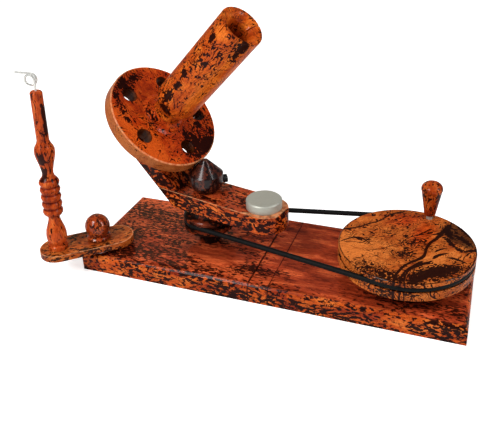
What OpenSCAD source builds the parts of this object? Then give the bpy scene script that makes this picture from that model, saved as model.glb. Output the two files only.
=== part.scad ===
// Hand-cranked yarn ball winder: a belt-driven arm carries a tilted winding spindle around a fixed
// friction cone, beside a swivelling yarn guide. Origin: centre of the baseboard's underside.
// +X runs along the board to the crank wheel, +Y away from the winder's front, +Z up.

/* [Baseboard] */
// Length of the board
base_l = 450; // [446:1:480]
// Width of the board
base_w = 150; // [146:1:170]
// Thickness of the board
base_h = 24; // [22:1:28]
// Round-over along the top edges
base_round = 8; // [3:0.5:9]
// Width of the cross groove that seats a table clamp
groove_w = 23; // [16:1:30]
// Depth of the cross groove
groove_depth = 1; // [1:0.5:5]

/* [Crank wheel] */
// Distance of the wheel's axle from the middle of the board
wheel_x = 150; // [146:1:150]
// Radius of the wheel
wheel_r = 75; // [70:0.5:75]
// Height of the wheel's underside above the table
wheel_z = 39.5; // [38:0.5:41]
// Thickness of the wheel
wheel_t = 22.5; // [20:0.5:24]
// Distance of the crank pin from the wheel's axle
crank_radius = 64; // [50:1:64]
// Angle of the crank pin from +X at rest
crank_angle = 74; // [0:1:360]
// Length of the crank grip
grip_l = 43; // [38:1:50]
// Largest radius of the crank grip
grip_r = 12.4; // [10:0.2:14]

/* [Belt] */
// Radius of the round belt's section
belt_r = 3; // [2.5:0.1:3.2]
// Height of the belt's centre line above the table
belt_z = 54; // [53:0.5:55]
// Radius of the belt's centre line on the crank wheel
belt_wheel_r = 72; // [71:0.5:72.5]
// Radius of the belt's centre line on the driven pulley
belt_pulley_r = 27; // [25:0.5:28]

/* [Winding arm] */
// Distance of the centre post from the middle of the board, towards the guide
post_x = 88; // [84:1:90]
// Angle of the arm about the centre post at rest
arm_angle = -13.4; // [-20:0.2:20]
// Lean of the spindle from the vertical
spindle_tilt = 44; // [43:0.5:45]
// Width of the arm
arm_w = 50; // [44:1:52]
// Thickness of the arm
arm_t = 21.5; // [20:0.5:22]
// Height of the arm's underside above the table
arm_z = 71; // [70:0.5:72]
// Distance from the centre post to the middle of the arm's free end
arm_reach = 84; // [80:1:90]
// Distance from the centre post to the counterweight
weight_reach = 81; // [78:1:84]
// Radius of the counterweight
weight_r = 20.5; // [17:0.1:21]
// Height of the counterweight
weight_h = 10.5; // [8:0.5:14]

/* [Spindle] */
// Radius of the spindle flange
flange_r = 69; // [66:0.5:69]
// Thickness of the spindle flange at its rim
flange_t = 16.5; // [15:0.5:18]
// Distance of the flange's centre from the centre post
flange_reach = 55.6; // [55:0.1:57]
// Height of the flange's top face centre above the table
flange_z = 178; // [177:0.5:180]
// Number of holes through the flange
hole_count = 5; // [4:1:8]
// Radius of the circle that the holes lie on
hole_ring_r = 47.5; // [45:0.5:50]
// Radius of each hole
hole_r = 9; // [6:0.5:10]
// Length of the spindle tube above the flange
tube_l = 167; // [140:1:180]
// Outer radius of the spindle tube
tube_r = 25.1; // [23:0.1:27]
// Radius of the bore inside the spindle tube
tube_bore_r = 12.5; // [12:0.5:16]
// Depth of the yarn slit across the tube's mouth
slit_depth = 10; // [5:0.5:15]
// Angle of the yarn slit around the tube
slit_angle = 74; // [0:1:180]

/* [Friction cone] */
// Largest radius of the cone
cone_r = 20.3; // [18:0.1:21]
// Radius of the cone's flat tip
cone_tip_r = 3.5; // [2:0.5:5]
// Radius of the cone's foot
cone_foot_r = 13.5; // [11:0.5:15]

/* [Yarn guide] */
// Where the guide bar's bolt stands on the board, along X
guide_x = -208; // [-210:1:-200]
// Where the guide bar's bolt stands on the board, along Y
guide_y = -59; // [-60:1:-50]
// Angle of the guide bar at rest, from the bolt to the inner end
guide_angle = 41.4; // [20:0.2:60]
// Distance from the bolt to the yarn post
guide_reach = 48; // [40:1:55]
// Distance from the bolt to the centre of the bar's inner end
guide_tail = 19.4; // [16:0.2:24]
// Width of the guide bar
guide_w = 43; // [36:1:46]
// Thickness of the guide bar
guide_t = 8; // [6:0.5:10]
// Gap between the board and the guide bar
guide_lift = 6; // [4:0.5:8]
// Height of the turned yarn post
guide_post_h = 195; // [185:1:210]
// Lean of the yarn post towards the bolt
guide_post_lean = 1.8; // [0:0.1:3]
// Radius of the clamp knob's ball
knob_r = 14.6; // [13:0.2:16]
// Radius of the eyelet's ring to the middle of its wire
eyelet_r = 5.6; // [4.8:0.1:7]
// Radius of the eyelet's wire
wire_r = 1.25; // [0.9:0.05:1.3]

/* [Hidden] */

wood = "#c4581c";
wood_red = "#a8431c";
wood_dark = "#2c120c";
steel = "#b9bcc0";
brass = "#b99445";
rubber = "#1b1b1c";

// Smoothness of large, middle and small round faces
fine = 72;
mid = 48;
small = 32;
// Gap between parts that move past each other, radial play of a shaft, and of a seated part
gap = 0.3;
play = 0.05;
seat = 0.02;
// A cut that passes clean through a face
over = 1;

// Threaded rods and their hardware
post_r = 5;
axle_r = 6;
bolt_r = 4;
nut_h = 6.5;
nut_r = 9.2;
washer_h = 1.5;
washer_r = 10.5;
pocket_depth = 8.5;
pocket_r = 11.5;
spacer_r = 13;

// Heights that the stack of parts on the board works out to
base_top = base_h;
pocket_floor = base_top - pocket_depth;
arm_top = arm_z + arm_t;
cone_z = arm_top + gap + 0.5;
pulley_z = 44;
pulley_flange_r = belt_pulley_r + belt_r;
groove_r = belt_r + gap;
guide_z = base_top + guide_lift;
guide_top = guide_z + guide_t;

// The spindle's frame: z runs up its axis from the flange's top face
arm_slope_t = 22;
outer_x = -33;
slope_depth = cos(spindle_tilt) * (flange_z - arm_z) - sin(spindle_tilt) * (outer_x + flange_reach);
slope_inner = arm_slope_t - slope_depth;
slope_outer = -slope_depth;
hub_r = 21;
hub_foot_r = 15;
spindle_bolt_r = 5;
spindle_bush_r = 9;
tube_neck_r = 17.5;
tube_neck_z = 12;
tube_full_z = 32;
tube_floor_z = 26;

// The friction cone's side lies along the flange's rim
rim_low = [flange_r * cos(spindle_tilt) - flange_reach, flange_z - flange_r * sin(spindle_tilt)];
rim_gap = rim_low + gap * [cos(spindle_tilt), -sin(spindle_tilt)];
cone_rise = cos(spindle_tilt) / sin(spindle_tilt);
cone_tip_z = rim_gap[1] + (-rim_gap[0] - cone_tip_r) * cone_rise;
cone_edge_z = cone_tip_z - (cone_r - cone_tip_r) * cone_rise;
cone_band = 7;
cone_belly = 13;
lock_z = 103;
lock_angle = 40;

// The belt runs straight between tangent points at this angle on both grooves
belt_span = wheel_x + post_x;
belt_lean = asin((belt_wheel_r - belt_pulley_r) / belt_span);
belt_tangent = 90 + belt_lean;

grip_z = wheel_z + wheel_t + 5.4;

// Points of an arc, from one angle to another
function arc(cx, cy, r, a0, a1, n) = [
    for (i = [0:n]) [cx + r * cos(a0 + (a1 - a0) * i / n), cy + r * sin(a0 + (a1 - a0) * i / n)]
];

// A bead of a turned post: a half-round swelling between two heights
function bead(z0, z1, r_in, r_out, n) = [
    for (i = [0:n]) [r_in + (r_out - r_in) * sin(180 * i / n), z0 + (z1 - z0) * i / n]
];

// A smooth change of radius between two heights
function blend(z0, z1, r0, r1, n) = [
    for (i = [0:n]) [r0 + (r1 - r0) * (1 - cos(180 * i / n)) / 2, z0 + (z1 - z0) * i / n]
];

module turned(points, smooth) {
    rotate_extrude($fn = smooth)
        polygon(points);
}

module ring(r_out, r_in, h, smooth) {
    difference() {
        cylinder(r = r_out, h = h, $fn = smooth);
        translate([0, 0, -over])
            cylinder(r = r_in, h = h + 2 * over, $fn = smooth);
    }
}

module hex_nut(r_in) {
    difference() {
        cylinder(r = nut_r, h = nut_h, $fn = 6);
        translate([0, 0, -over])
            cylinder(r = r_in, h = nut_h + 2 * over, $fn = small);
    }
}

// A bar with round ends, drawn from one end's centre to the other's along X
module round_bar(x0, x1, w, h) {
    translate([x0, -w / 2, 0])
        cube([x1 - x0, w, h]);
    for (x = [x0, x1])
        translate([x, 0, 0])
            cylinder(r = w / 2, h = h, $fn = fine);
}

module at_post() {
    translate([-post_x, 0, 0])
        children();
}

module at_wheel() {
    translate([wheel_x, 0, 0])
        children();
}

module at_crank() {
    at_wheel()
        rotate([0, 0, crank_angle])
            translate([crank_radius, 0, 0])
                children();
}

module in_arm() {
    at_post()
        rotate([0, 0, arm_angle])
            children();
}

module in_spindle() {
    in_arm()
        translate([-flange_reach, 0, flange_z])
            rotate([0, spindle_tilt, 0])
                children();
}

module at_guide() {
    translate([guide_x, guide_y, 0])
        rotate([0, 0, guide_angle])
            children();
}

module at_rods() {
    at_post()
        children();
    at_wheel()
        children();
}

// Baseboard: one board with rounded top edges, a shallow cross groove and nut pockets beneath
module board_section(span, length) {
    rotate([90, 0, 90])
        linear_extrude(length, center = true)
            polygon(concat(
                [[-span / 2, 0], [span / 2, 0]],
                arc(span / 2 - base_round, base_h - base_round, base_round, 0, 90, 8),
                arc(base_round - span / 2, base_h - base_round, base_round, 90, 180, 8)
            ));
}

module base_board() {
    color(wood_red)
        difference() {
            intersection() {
                board_section(base_w, base_l);
                rotate([0, 0, 90])
                    board_section(base_l, base_w);
            }
            translate([-groove_w / 2, -base_w, base_top - groove_depth])
                cube([groove_w, 2 * base_w, 2 * groove_depth]);
            at_rods()
                for (z = [-over, pocket_floor])
                    translate([0, 0, z])
                        cylinder(r = pocket_r, h = pocket_depth + over, $fn = mid);
            at_post()
                translate([0, 0, -over])
                    cylinder(r = post_r + seat, h = base_h + 2 * over, $fn = small);
            at_wheel()
                translate([0, 0, -over])
                    cylinder(r = axle_r + seat, h = base_h + 2 * over, $fn = small);
            at_guide() {
                translate([0, 0, -over])
                    cylinder(r = bolt_r + seat, h = base_h + 2 * over, $fn = small);
                translate([0, 0, -over])
                    cylinder(r = 9, h = 6 + over, $fn = mid);
            }
        }
}

// Nuts and washers that hold the two upright rods, sunk into both faces of the board
module under_nuts() {
    color(steel) {
        at_post()
            translate([0, 0, pocket_depth - washer_h - nut_h])
                hex_nut(post_r + seat);
        at_wheel()
            translate([0, 0, pocket_depth - washer_h - nut_h])
                hex_nut(axle_r + seat);
    }
}

module under_washers() {
    color(steel) {
        at_post()
            translate([0, 0, pocket_depth - washer_h])
                ring(washer_r, post_r + seat, washer_h, small);
        at_wheel()
            translate([0, 0, pocket_depth - washer_h])
                ring(washer_r, axle_r + seat, washer_h, small);
    }
}

module top_nuts() {
    color(steel) {
        at_post()
            translate([0, 0, pocket_floor + washer_h])
                hex_nut(post_r + seat);
        at_wheel()
            translate([0, 0, pocket_floor + washer_h])
                hex_nut(axle_r + seat);
    }
}

module top_washers() {
    color(steel) {
        at_post()
            translate([0, 0, pocket_floor])
                ring(washer_r, post_r + seat, washer_h, small);
        at_wheel()
            translate([0, 0, pocket_floor])
                ring(washer_r, axle_r + seat, washer_h, small);
    }
}

// Centre post: the fixed rod that the arm turns on and the cone is locked to
module centre_post() {
    color(steel)
        at_post()
            translate([0, 0, 0.5])
                cylinder(r = post_r, h = cone_z + 24, $fn = small);
}

// Spacer: a turned ring that covers the nut's pocket and carries the pulley
module post_spacer() {
    color(wood_dark)
        at_post()
            translate([0, 0, base_top])
                ring(spacer_r, post_r + seat, pulley_z - gap - base_top, mid);
}

// Friction cone: a turned double cone whose upper side drives the flange's rim
module friction_cone() {
    color(wood_dark)
        at_post()
            difference() {
                turned(concat(
                    [[0, cone_z], [cone_foot_r, cone_z]],
                    [for (t = [15:15:90]) [
                        cone_foot_r + (cone_r - cone_foot_r) * sin(t),
                        cone_edge_z - cone_band - cone_belly * cos(t)
                    ]],
                    [[cone_r, cone_edge_z], [cone_tip_r, cone_tip_z], [0, cone_tip_z]]
                ), mid);
                translate([0, 0, cone_z - over])
                    cylinder(r = post_r + seat, h = 26 + over, $fn = small);
                translate([0, 0, lock_z])
                    rotate([0, 90, lock_angle])
                        cylinder(r = 2 + seat, h = 40, $fn = small);
            }
}

module cone_lock_screw() {
    color(rubber)
        at_post()
            translate([0, 0, lock_z])
                rotate([0, 90, lock_angle]) {
                    translate([0, 0, post_r + seat])
                        cylinder(r = 2, h = 17, $fn = small);
                    difference() {
                        translate([0, 0, cone_r + 0.4])
                            cylinder(r = 5, h = 4.6, $fn = small);
                        translate([0, 0, cone_r + 3])
                            cylinder(r = 2.2, h = 6, $fn = 6);
                    }
                }
}

// Wheel axle and the spacer that carries the crank wheel clear of the board
module wheel_axle() {
    color(steel)
        at_wheel()
            translate([0, 0, 0.5])
                cylinder(r = axle_r, h = wheel_z + 15, $fn = small);
}

module wheel_spacer() {
    color(wood_dark)
        at_wheel()
            translate([0, 0, base_top])
                ring(spacer_r + 3, axle_r + seat, wheel_z - gap - base_top, mid);
}

// Round belt: two arcs on the grooves, joined by two straight runs let into their ends
module belt_arc(r, half_angle, smooth) {
    rotate([0, 0, -half_angle])
        rotate_extrude(angle = 2 * half_angle, $fn = smooth)
            translate([r, 0])
                circle(r = belt_r, $fn = 16);
}

module drive_belt() {
    run_l = belt_span * cos(belt_lean);
    belt_let = 0.4;
    color(rubber)
        translate([0, 0, belt_z]) {
            at_wheel()
                belt_arc(belt_wheel_r, belt_tangent, fine);
            at_post()
                rotate([0, 0, 180])
                    belt_arc(belt_pulley_r, 180 - belt_tangent, mid);
            for (side = [-1, 1])
                at_post()
                    rotate([0, 0, side * belt_tangent])
                        translate([belt_pulley_r, 0, 0])
                            rotate([side * 90, 0, 0])
                                translate([0, 0, -belt_let])
                                    cylinder(r = belt_r - 0.03, h = run_l + 2 * belt_let, $fn = 16);
        }
}

// Driven pulley: a turned pulley with a neck up to the arm
module driven_pulley() {
    color(wood_dark)
        at_post()
            difference() {
                turned(concat(
                    [[0, pulley_z], [pulley_flange_r - 1, pulley_z], [pulley_flange_r, pulley_z + 1],
                     [pulley_flange_r, belt_z - groove_r]],
                    arc(belt_pulley_r, belt_z, groove_r, -90, -270, 10),
                    [[pulley_flange_r, belt_z + groove_r], [pulley_flange_r, belt_z + 7],
                     [pulley_flange_r - 1.5, belt_z + 8.5], [23, belt_z + 9.5], [22, arm_z], [0, arm_z]]
                ), mid);
                translate([0, 0, pulley_z - over])
                    cylinder(r = 8, h = 60, $fn = small);
                pulley_screw_places()
                    union() {
                        translate([0, 0, pulley_z - over])
                            cylinder(r = 4.2, h = 5 + over, $fn = small);
                        cylinder(r = 2 + seat, h = arm_top, $fn = small);
                    }
            }
}

module pulley_screw_places() {
    for (a = [60, 180, 300])
        rotate([0, 0, a])
            translate([15.5, 0, 0])
                children();
}

module pulley_screws() {
    color(steel)
        at_post()
            pulley_screw_places() {
                translate([0, 0, pulley_z + 2])
                    cylinder(r = 4, h = 3, $fn = small);
                translate([0, 0, pulley_z + 4])
                    cylinder(r = 2, h = arm_z + 10 - pulley_z - 4, $fn = small);
            }
}

// Bushes that the arm and its pulley turn on
module rotor_bushes() {
    color(brass)
        at_post() {
            translate([0, 0, pulley_z])
                ring(8 - seat, post_r + play, 16, small);
            translate([0, 0, arm_top - 16])
                ring(8 - seat, post_r + play, 16, small);
        }
}

// Winding arm: a flat bar with a round end that turns up under the spindle
module arm_profile() {
    s = sin(spindle_tilt);
    c = cos(spindle_tilt);
    inner_x = outer_x + (arm_slope_t - arm_t * c) / s;
    bend_r = 15;
    bend_run = bend_r * tan(spindle_tilt / 2);
    reach = 130;
    polygon(concat(
        [[outer_x, arm_z], [reach, arm_z], [reach, arm_top]],
        arc(inner_x + bend_run, arm_top + bend_r, bend_r, -90, -90 - spindle_tilt, 6),
        [[inner_x - c * reach, arm_top + s * reach], [outer_x - c * reach, arm_z + s * reach]]
    ));
}

module rotor_arm() {
    color(wood)
        difference() {
            intersection() {
                in_arm()
                    rotate([90, 0, 0])
                        linear_extrude(arm_w, center = true)
                            arm_profile();
                in_arm()
                    round_bar(-160, arm_reach, arm_w, 300);
                in_spindle()
                    translate([0, 0, -150])
                        round_bar(0, 260, arm_w, 200);
            }
            at_post()
                translate([0, 0, arm_z - over])
                    cylinder(r = 8, h = arm_t + 2 * over, $fn = small);
            at_post()
                pulley_screw_places()
                    translate([0, 0, arm_z - over])
                        cylinder(r = 2 + seat, h = 11 + over, $fn = small);
            in_spindle()
                translate([0, 0, slope_outer - over])
                    cylinder(r = spindle_bolt_r + seat, h = arm_slope_t + 2 * over, $fn = small);
            in_spindle()
                translate([0, 0, slope_outer - 20])
                    cylinder(r = 10, h = 27, $fn = small);
            in_arm()
                translate([weight_reach, 0, 0]) {
                    translate([0, 0, arm_z - over])
                        cylinder(r = 3 + seat, h = arm_t + 2 * over, $fn = small);
                    translate([0, 0, arm_z - over])
                        cylinder(r = 6, h = 5 + over, $fn = small);
                }
        }
}

// Counterweight: a plain metal disc on the arm's free end, held from beneath
module counterweight() {
    color(steel)
        in_arm()
            translate([weight_reach, 0, arm_top])
                difference() {
                    turned([
                        [0, 0], [weight_r - 0.4, 0], [weight_r, 0.4], [weight_r, weight_h - 1.2],
                        [weight_r - 1.2, weight_h], [0, weight_h]
                    ], fine);
                    translate([0, 0, -over])
                        cylinder(r = 3 + seat, h = 7 + over, $fn = small);
                }
}

module counterweight_screw() {
    color(steel)
        in_arm()
            translate([weight_reach, 0, 0]) {
                translate([0, 0, arm_z + 1])
                    cylinder(r = 5.6, h = 4, $fn = small);
                translate([0, 0, arm_z + 4])
                    cylinder(r = 3, h = arm_t + 2, $fn = small);
            }
}

// Spindle bolt: its head sits in the arm, and the flange and tube turn on its shank
module spindle_bolt() {
    color(steel)
        in_spindle() {
            translate([0, 0, slope_outer + 1.5])
                cylinder(r = 9, h = 5.5, $fn = 6);
            translate([0, 0, slope_outer + 6])
                cylinder(r = spindle_bolt_r, h = slope_depth - 6 + tube_floor_z + 12, $fn = small);
        }
}

module spindle_washer() {
    color(steel)
        in_spindle()
            translate([0, 0, slope_inner])
                ring(13, spindle_bolt_r + seat, 2, small);
}

// Spindle flange: a disc with five holes, a hub beneath and a low boss under the tube
module spindle_flange() {
    color(wood_red)
        in_spindle()
            difference() {
                turned(concat(
                    [[0, slope_inner + 2 + gap], [hub_foot_r, slope_inner + 2 + gap]],
                    blend(slope_inner + 6, -flange_t, hub_foot_r, hub_r, 4),
                    [[flange_r - 1, -flange_t], [flange_r, 1 - flange_t]],
                    arc(flange_r - 1.6, -1.6, 1.6, 0, 90, 3),
                    [[29, 0], [25.5, 1.4], [24.5, 3.2], [21, 3.6], [tube_neck_r + 0.6, 6],
                     [tube_neck_r, 8], [0, 8]]
                ), fine);
                for (i = [0:hole_count - 1])
                    rotate([0, 0, 360 / hole_count * i - 4])
                        translate([hole_ring_r, 0, -flange_t - over])
                            cylinder(r = hole_r, h = flange_t + 2 * over, $fn = mid);
                translate([0, 0, -50])
                    cylinder(r = spindle_bush_r, h = 70, $fn = small);
            }
}

// Spindle tube: a barrel with a narrow foot, a dished mouth over its bore and a yarn slit
module spindle_tube() {
    lip = 1.2;
    dish_r = tube_r - lip;
    dish_depth = 17;
    color(wood)
        in_spindle()
            difference() {
                turned(concat(
                    [[0, 8], [tube_neck_r, 8]],
                    blend(tube_neck_z, tube_full_z, tube_neck_r, tube_r, 6),
                    arc(dish_r, tube_l - lip, lip, 0, 90, 3),
                    [for (t = [15:15:90]) [
                        tube_bore_r + (dish_r - tube_bore_r) * (1 - sin(t)),
                        tube_l - dish_depth * (1 - cos(t))
                    ]],
                    [[tube_bore_r, tube_floor_z], [0, tube_floor_z]]
                ), fine);
                translate([0, 0, 7])
                    cylinder(r = spindle_bush_r, h = 30, $fn = small);
                rotate([0, 0, slit_angle])
                    translate([-40, -0.7, tube_l - slit_depth])
                        cube([80, 1.4, 20]);
            }
}

module spindle_bushes() {
    color(brass)
        in_spindle() {
            translate([0, 0, slope_inner + 2 + gap])
                ring(spindle_bush_r - seat, spindle_bolt_r + play, 18, small);
            translate([0, 0, tube_floor_z - 18])
                ring(spindle_bush_r - seat, spindle_bolt_r + play, 18, small);
        }
}

module spindle_top_washer() {
    color(steel)
        in_spindle()
            translate([0, 0, tube_floor_z + gap])
                ring(11, spindle_bolt_r + seat, washer_h, small);
}

module spindle_lock_nut() {
    color(steel)
        in_spindle()
            translate([0, 0, tube_floor_z + gap + washer_h])
                hex_nut(spindle_bolt_r + seat);
}

// Crank wheel: a thick turned disc with a belt groove, blind beneath so no axle shows on top
module drive_wheel() {
    color(wood)
        at_wheel()
            difference() {
                turned(concat(
                    [[0, wheel_z], [wheel_r - 1.5, wheel_z], [wheel_r, wheel_z + 1.5],
                     [wheel_r, belt_z - groove_r]],
                    arc(belt_wheel_r, belt_z, groove_r, -90, -270, 10),
                    [[wheel_r, belt_z + groove_r]],
                    arc(wheel_r - 1.6, wheel_z + wheel_t - 1.6, 1.6, 0, 90, 3),
                    [[0, wheel_z + wheel_t]]
                ), fine);
                translate([0, 0, wheel_z - over])
                    cylinder(r = 10, h = 17.5 + over, $fn = small);
                rotate([0, 0, crank_angle])
                    translate([crank_radius, 0, wheel_z + 6])
                        cylinder(r = 3 + seat, h = 40, $fn = small);
            }
}

module wheel_bush() {
    color(brass)
        at_wheel()
            translate([0, 0, wheel_z])
                ring(10 - seat, axle_r + play, 16, small);
}

// Crank pin, the bright ferrule at its foot and the pear-shaped grip that turns on it
module crank_pin() {
    color(steel)
        at_crank()
            translate([0, 0, wheel_z + 6])
                cylinder(r = 3, h = grip_z + 34 - wheel_z - 6, $fn = small);
}

module crank_ferrule() {
    color(steel)
        at_crank()
            translate([0, 0, wheel_z + wheel_t])
                ring(3.7, 3 + seat, 5, small);
}

module crank_grip() {
    dome_h = 9;
    color(wood)
        at_crank()
            translate([0, 0, grip_z])
                difference() {
                    turned(concat(
                        [[0, 0], [5.8, 0], [6.6, 1], [9.2, 16.5], [grip_r - 1.2, grip_l - dome_h - 6]],
                        [for (t = [-20:10:90]) [grip_r * cos(t), grip_l - dome_h + dome_h * sin(t)]]
                    ), mid);
                    translate([0, 0, -over])
                        cylinder(r = 3 + play, h = 36 + over, $fn = small);
                }
}

// Guide clamp: a bolt from beneath, a spacer, and a ball knob that tightens the bar
module clamp_bolt() {
    color(steel)
        at_guide() {
            translate([0, 0, 1.5])
                cylinder(r = 8, h = 4.5, $fn = small);
            translate([0, 0, 5])
                cylinder(r = bolt_r, h = guide_top + 15 - 5, $fn = small);
        }
}

module guide_spacer() {
    color(steel)
        at_guide()
            translate([0, 0, base_top])
                ring(13, bolt_r + seat, guide_lift - gap, small);
}

module guide_bar() {
    color(wood)
        at_guide()
            difference() {
                translate([0, 0, guide_z])
                    round_bar(-guide_reach, guide_tail, guide_w, guide_t);
                translate([0, 0, guide_z - over])
                    cylinder(r = bolt_r + play, h = guide_t + 2 * over, $fn = small);
                translate([-guide_reach, 0, guide_z - over])
                    cylinder(r = 2 + seat, h = guide_t + 2 * over, $fn = small);
                translate([-guide_reach, 0, guide_z - over])
                    cylinder(r = 4, h = 3.5 + over, $fn = small);
            }
}

// Yarn post: turned with a foot ring, a vase, five beads, a bulb and a plain shaft
module guide_post() {
    bead_count = 5;
    bead_low = 45.6;
    bead_h = 9.2;
    color(wood)
        at_guide()
            translate([-guide_reach, 0, guide_top])
                difference() {
                    rotate([0, guide_post_lean, 0])
                        turned(concat(
                            [[0, -0.8], [11.4, -0.8], [11.4, 4.4], [10.6, 5.2], [8.9, 6]],
                            [[9.6, 8], [11, 11], [11.7, 15.5], [11.6, 20], [10.9, 25], [9.3, 30]],
                            [[7.7, 35], [6.6, 39.5], [6.5, 44]],
                            [for (i = [0:bead_count - 1]) for (p = bead(
                                bead_low + i * bead_h, bead_low + (i + 0.92) * bead_h, 9.6, 11.5, 4)) p],
                            [[7.2, 94], [6.3, 98], [6.8, 103], [8.4, 110], [10.3, 117], [11.3, 122]],
                            [[11.3, 127], [10.3, 130.5], [8, 134.5], [6.9, 138]],
                            [[6.7, guide_post_h - 1.6], [5.3, guide_post_h], [0, guide_post_h]]
                        ), small);
                    translate([-20, -20, -20])
                        cube([40, 40, 20]);
                    translate([0, 0, -over])
                        cylinder(r = 2 + seat, h = 26 + over, $fn = small);
                    rotate([0, guide_post_lean, 0])
                        translate([0, 0, guide_post_h - 14])
                            cylinder(r = wire_r + seat, h = 20, $fn = 16);
                }
}

module guide_post_screw() {
    color(steel)
        at_guide()
            translate([-guide_reach, 0, 0]) {
                translate([0, 0, guide_z + 0.6])
                    cylinder(r = 3.7, h = 2.8, $fn = small);
                translate([0, 0, guide_z + 3])
                    cylinder(r = 2, h = 26, $fn = small);
            }
}

// A bend of the eyelet's wire in an upright plane
module wire_bend(r, start, sweep) {
    rotate([90, 0, 0])
        rotate([0, 0, start])
            rotate_extrude(angle = sweep, $fn = small)
                translate([r, 0])
                    circle(r = wire_r, $fn = 12);
}

// Yarn eyelet: a pigtail of wire that winds back behind its own stem to a threading tail
module yarn_eyelet() {
    stem_h = 11.5;
    tail_l = 19;
    facing = -25;
    pitch_angle = 11;
    back_r = eyelet_r + 0.4;
    color(steel)
        at_guide()
            translate([-guide_reach, 0, guide_top])
                rotate([0, guide_post_lean, 0])
                    translate([0, 0, guide_post_h])
                        rotate([0, 0, facing - pitch_angle]) {
                            translate([0, 0, -13])
                                cylinder(r = wire_r, h = 13 + stem_h, $fn = 12);
                            translate([-eyelet_r, 0, stem_h])
                                wire_bend(eyelet_r, 0, 180);
                            translate([-2 * eyelet_r, 0, stem_h])
                                rotate([0, 0, 2 * pitch_angle]) {
                                    translate([back_r, 0, 0])
                                        wire_bend(back_r, 180, 180);
                                    translate([2 * back_r, 0, 0])
                                        rotate([0, 0, -2 * pitch_angle])
                                            translate([-back_r, 0, 0]) {
                                                wire_bend(back_r, 0, 90);
                                                translate([0, 0, back_r])
                                                    rotate([0, -90, 0])
                                                        cylinder(r = wire_r, h = tail_l, $fn = 12);
                                            }
                                }
                        }
}

// Clamp knob: a turned ball on a foot ring, with a brass thread insert
module clamp_knob() {
    ball_z = 17;
    color(wood_red)
        at_guide()
            translate([0, 0, guide_top + gap])
                difference() {
                    turned(concat(
                        [[0, 0], [12.6, 0], [13.8, 1.4], [13.8, 3.4], [12.4, 5], [11, 5.6]],
                        arc(0, ball_z, knob_r, -48, 90, 14)
                    ), mid);
                    translate([0, 0, -over])
                        cylinder(r = 6.5, h = 18 + over, $fn = small);
                }
}

module knob_insert() {
    color(brass)
        at_guide()
            translate([0, 0, guide_top + gap])
                ring(6.5 - seat, bolt_r + play, 16, small);
}

base_board();
under_nuts();
under_washers();
top_nuts();
top_washers();
centre_post();
post_spacer();
friction_cone();
cone_lock_screw();
wheel_axle();
wheel_spacer();
drive_belt();
driven_pulley();
pulley_screws();
rotor_bushes();
rotor_arm();
counterweight();
counterweight_screw();
spindle_bolt();
spindle_washer();
spindle_flange();
spindle_tube();
spindle_bushes();
spindle_top_washer();
spindle_lock_nut();
drive_wheel();
wheel_bush();
crank_pin();
crank_ferrule();
crank_grip();
clamp_bolt();
guide_spacer();
guide_bar();
guide_post();
guide_post_screw();
yarn_eyelet();
clamp_knob();
knob_insert();
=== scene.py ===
import math
import bpy
from mathutils import Matrix, Vector

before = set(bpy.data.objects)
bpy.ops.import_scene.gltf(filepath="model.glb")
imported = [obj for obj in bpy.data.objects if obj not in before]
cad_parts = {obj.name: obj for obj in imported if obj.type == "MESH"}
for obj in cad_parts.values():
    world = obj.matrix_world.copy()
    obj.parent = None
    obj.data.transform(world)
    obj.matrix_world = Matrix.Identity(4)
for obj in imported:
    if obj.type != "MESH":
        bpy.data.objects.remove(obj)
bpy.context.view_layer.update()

print("scene: model loaded")


# Small helpers for shader trees. A value may be a number, a tuple, a colour or another node's output.
def put(tree, socket, value):
    if isinstance(value, bpy.types.NodeSocket):
        tree.links.new(value, socket)
    elif value is not None and socket.type == "RGBA":
        socket.default_value = (*value, 1)
    elif value is not None:
        socket.default_value = value


def calc(tree, operation, a, b=None):
    node = tree.nodes.new("ShaderNodeMath")
    node.operation = operation
    put(tree, node.inputs[0], a)
    put(tree, node.inputs[1], b)
    return node.outputs[0]


def move(tree, operation, a, b=None, scale=None):
    node = tree.nodes.new("ShaderNodeVectorMath")
    node.operation = operation
    put(tree, node.inputs[0], a)
    put(tree, node.inputs[1], b)
    if operation == "SCALE":
        put(tree, node.inputs["Scale"], scale)
    return node.outputs["Value" if operation == "LENGTH" else "Vector"]


def split(tree, vector):
    node = tree.nodes.new("ShaderNodeSeparateXYZ")
    put(tree, node.inputs[0], vector)
    return node.outputs


def distance(tree, x, y):
    squares = calc(tree, "ADD", calc(tree, "MULTIPLY", x, x), calc(tree, "MULTIPLY", y, y))
    return calc(tree, "SQRT", squares)


def step(tree, value, low, high, toLow=0.0, toHigh=1.0):
    node = tree.nodes.new("ShaderNodeMapRange")
    node.interpolation_type = "SMOOTHSTEP"
    for name, given in zip(("Value", "From Min", "From Max", "To Min", "To Max"),
                           (value, low, high, toLow, toHigh)):
        put(tree, node.inputs[name], given)
    return node.outputs[0]


def mix(tree, factor, a, b, blend="MIX"):
    node = tree.nodes.new("ShaderNodeMix")
    node.data_type = "RGBA"
    node.blend_type = blend
    put(tree, node.inputs[0], factor)
    put(tree, node.inputs[6], a)  # 6, 7 and output 2 are the colours
    put(tree, node.inputs[7], b)
    return node.outputs[2]


# Size is the width of its blotches, in the vector's unit
def noise(tree, vector, size, detail, rough, seed, distortion=0.0):
    node = tree.nodes.new("ShaderNodeTexNoise")
    node.noise_dimensions = "4D"
    linked = isinstance(size, bpy.types.NodeSocket)
    put(tree, node.inputs["Vector"], vector)
    put(tree, node.inputs["W"], seed)
    put(tree, node.inputs["Scale"], calc(tree, "DIVIDE", 1.0, size) if linked else 1 / size)
    put(tree, node.inputs["Detail"], detail)
    put(tree, node.inputs["Roughness"], rough)
    put(tree, node.inputs["Distortion"], distortion)
    return node.outputs


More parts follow.
